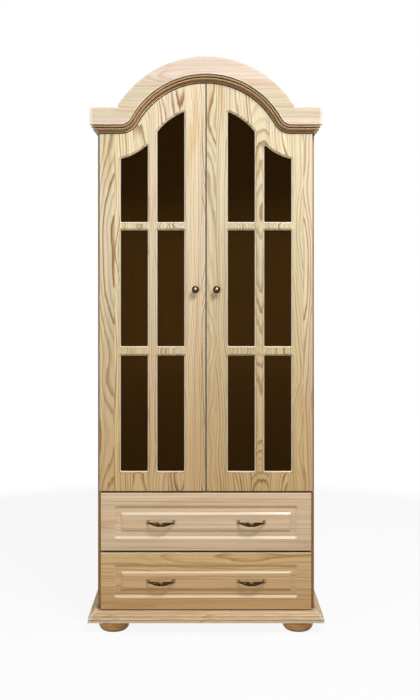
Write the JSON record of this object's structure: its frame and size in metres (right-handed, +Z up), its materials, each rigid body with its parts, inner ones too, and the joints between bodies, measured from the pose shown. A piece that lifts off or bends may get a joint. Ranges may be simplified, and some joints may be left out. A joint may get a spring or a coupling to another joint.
{
  "type": "display cabinet",
  "caption": "Tall pine display cabinet with an arched crown, glazed doors over drawers with bow handles, a moulded plinth and turned feet.",
  "frame": {"origin": "on the floor, below the middle of the cabinet's overall width and depth, its door knobs included", "axes": "+Z is up, the doors and drawers face -Y, and +X is to the right of a person who faces the doors"},
  "size_m": [0.87, 0.43, 2.122],
  "materials": {
    "carcass_pine": "clear satin lacquer",
    "plywood": "clear satin lacquer",
    "crown_pine": "clear satin lacquer",
    "plinth_pine": "clear satin lacquer",
    "foot_pine": "stained and lacquered",
    "runner_beech": "bare, waxed",
    "door_pine": "clear satin lacquer",
    "smoked_glass": "clear, brown tinted",
    "antique_bronze": "antique bronze, worn on the high spots",
    "plated_steel": "nickel plated",
    "zinc_steel": "zinc plated",
    "felt": "felt",
    "drawer_front_pine": "clear satin lacquer",
    "drawer_box_pine": "bare, sanded"
  },
  "bodies": {
    "carcass": {"left_side_panel": "carcass_pine", "right_side_panel": "carcass_pine", "bottom_panel": "carcass_pine", "middle_panel": "carcass_pine", "drawer_rail": "carcass_pine", "arched_header": "carcass_pine", "arched_back_rail": "carcass_pine", "shoulder_boards": "carcass_pine", "upper_shelf": "carcass_pine", "lower_shelf": "carcass_pine", "corner_blocks": "carcass_pine", "plinth_back": "carcass_pine", "roof_sheet": "plywood", "lower_back_panel": "plywood", "upper_back_panel": "plywood", "crown_fascia": "crown_pine", "crown_moulding": "crown_pine", "fascia_returns": "crown_pine", "moulding_returns": "crown_pine", "plinth_front": "plinth_pine", "plinth_left": "plinth_pine", "plinth_right": "plinth_pine", "turned_feet": "foot_pine", "drawer_runners": "runner_beech", "dowels": "runner_beech", "left_hinge_arms": "plated_steel", "right_hinge_arms": "plated_steel", "shelf_pins": "plated_steel", "hinge_arm_screws": "zinc_steel", "felt_bumpers": "felt"},
    "left_door": {"left_door_leaf": "door_pine", "left_door_glass": "smoked_glass", "left_glazing_beads": "door_pine", "left_door_knob": "antique_bronze", "left_hinge_cups": "plated_steel", "left_door_screws": "zinc_steel"},
    "right_door": {"right_door_leaf": "door_pine", "right_door_glass": "smoked_glass", "right_glazing_beads": "door_pine", "right_door_knob": "antique_bronze", "right_hinge_cups": "plated_steel", "right_door_screws": "zinc_steel"},
    "left_links": {"left_hinge_links": "plated_steel"},
    "right_links": {"right_hinge_links": "plated_steel"},
    "upper_drawer": {"upper_drawer_front": "drawer_front_pine", "upper_drawer_sides": "drawer_box_pine", "upper_drawer_inner_front": "drawer_box_pine", "upper_drawer_back": "drawer_box_pine", "upper_drawer_bottom": "plywood", "upper_drawer_handles": "antique_bronze", "upper_drawer_screws": "zinc_steel"},
    "lower_drawer": {"lower_drawer_front": "drawer_front_pine", "lower_drawer_sides": "drawer_box_pine", "lower_drawer_inner_front": "drawer_box_pine", "lower_drawer_back": "drawer_box_pine", "lower_drawer_bottom": "plywood", "lower_drawer_handles": "antique_bronze", "lower_drawer_screws": "zinc_steel"}
  },
  "joints": [
    {"name": "left_door_swing", "type": "hinge", "parent": "carcass", "child": "left_door", "pos_m": [-0.392, -0.179, 1.18], "axis": [0, 0, -1], "range_deg": [0, 95]},
    {"name": "left_link_turn", "type": "hinge", "parent": "carcass", "child": "left_links", "pos_m": [-0.3762, -0.1717, 1.18], "axis": [0, 0, -1], "range_deg": [0, 110]},
    {"name": "right_door_swing", "type": "hinge", "parent": "carcass", "child": "right_door", "pos_m": [0.392, -0.179, 1.18], "axis": [0, 0, 1], "range_deg": [0, 95]},
    {"name": "right_link_turn", "type": "hinge", "parent": "carcass", "child": "right_links", "pos_m": [0.3762, -0.1717, 1.18], "axis": [0, 0, 1], "range_deg": [0, 110]},
    {"name": "upper_drawer_slide", "type": "slide", "parent": "carcass", "child": "upper_drawer", "axis": [0, -1, 0], "range_m": [0, 0.26]},
    {"name": "lower_drawer_slide", "type": "slide", "parent": "carcass", "child": "lower_drawer", "axis": [0, -1, 0], "range_m": [0, 0.26]}
  ],
  "couplings": [
    {"joint": "left_link_turn", "follows": "left_door_swing", "ratio": 1.1454},
    {"joint": "right_link_turn", "follows": "right_door_swing", "ratio": 1.1454}
  ]
}
